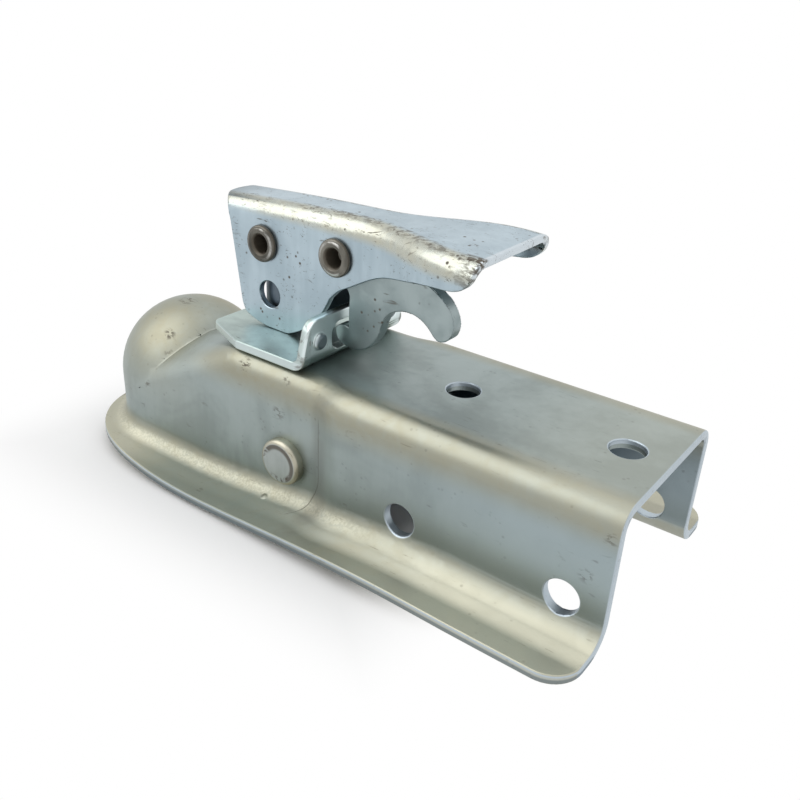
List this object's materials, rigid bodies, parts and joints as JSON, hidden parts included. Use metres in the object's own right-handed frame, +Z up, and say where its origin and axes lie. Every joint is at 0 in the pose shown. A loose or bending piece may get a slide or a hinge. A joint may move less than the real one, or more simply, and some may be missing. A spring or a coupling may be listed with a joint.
{
  "type": "trailer coupling head",
  "caption": "Pressed straight-tongue trailer coupling head: ball dome, open drawbar channel with outward flange, lever latch with trigger, ball clamp and draw bolt.",
  "frame": {"origin": "centre of the ball, which is the centre of the socket's dome", "axes": "+X back along the drawbar, +Z up, the dome opens downwards along -Z, the trigger is on the -Y side"},
  "size_m": [0.2158, 0.098, 0.0978],
  "materials": {
    "plated_sheet": "satin zinc plating with cream highlights on the bends",
    "plated_plate": "bright bluish zinc plating, pitted",
    "plated_forging": "dull zinc plating",
    "gold_plated": "pale yellow zinc plating",
    "rivet_steel": "plated, brownish rolled flange",
    "spring_steel": "drawn wire",
    "nylon": "moulded"
  },
  "bodies": {
    "head": {"housing": "plated_sheet", "saddle_plate": "plated_plate", "clamp_pin": "gold_plated", "spring_bush": "plated_forging", "clamp_spring": "spring_steel"},
    "draw": {"draw_bolt": "plated_forging", "spring_seat": "plated_forging", "clamp_washer": "gold_plated", "lock_nut": "gold_plated", "nut_insert": "nylon"},
    "lever": {"handle": "plated_plate", "handle_rivet": "rivet_steel", "trigger_rivet": "rivet_steel", "trigger_spacer": "rivet_steel", "trigger_spring": "spring_steel"},
    "latch": {"trigger": "plated_plate"},
    "clamp": {"ball_clamp": "plated_forging"}
  },
  "joints": [
    {"name": "bolt_drop", "type": "slide", "parent": "head", "child": "draw", "axis": [0, 0, -1], "range_m": [0, 0.005], "deforming": ["clamp_spring"]},
    {"name": "handle_lift", "type": "hinge", "parent": "draw", "child": "lever", "pos_m": [0.0468, 0, 0.0605], "axis": [0, -1, 0], "range_deg": [0, 83]},
    {"name": "trigger_pull", "type": "hinge", "parent": "lever", "child": "latch", "pos_m": [0.0766, 0, 0.0627], "axis": [0, -1, 0], "range_deg": [0, 14], "stiffness_Nm_per_rad": 0.25, "springref_deg": -17.19},
    {"name": "clamp_swing", "type": "hinge", "parent": "head", "child": "clamp", "pos_m": [0.071, 0, -0.0013], "axis": [0, -1, 0], "range_deg": [0, 11.92]}
  ],
  "couplings": [
    {"joint": "bolt_drop", "follows": "handle_lift", "m_per_rad": 0.0034515},
    {"joint": "clamp_swing", "follows": "handle_lift", "ratio": 0.1436}
  ]
}
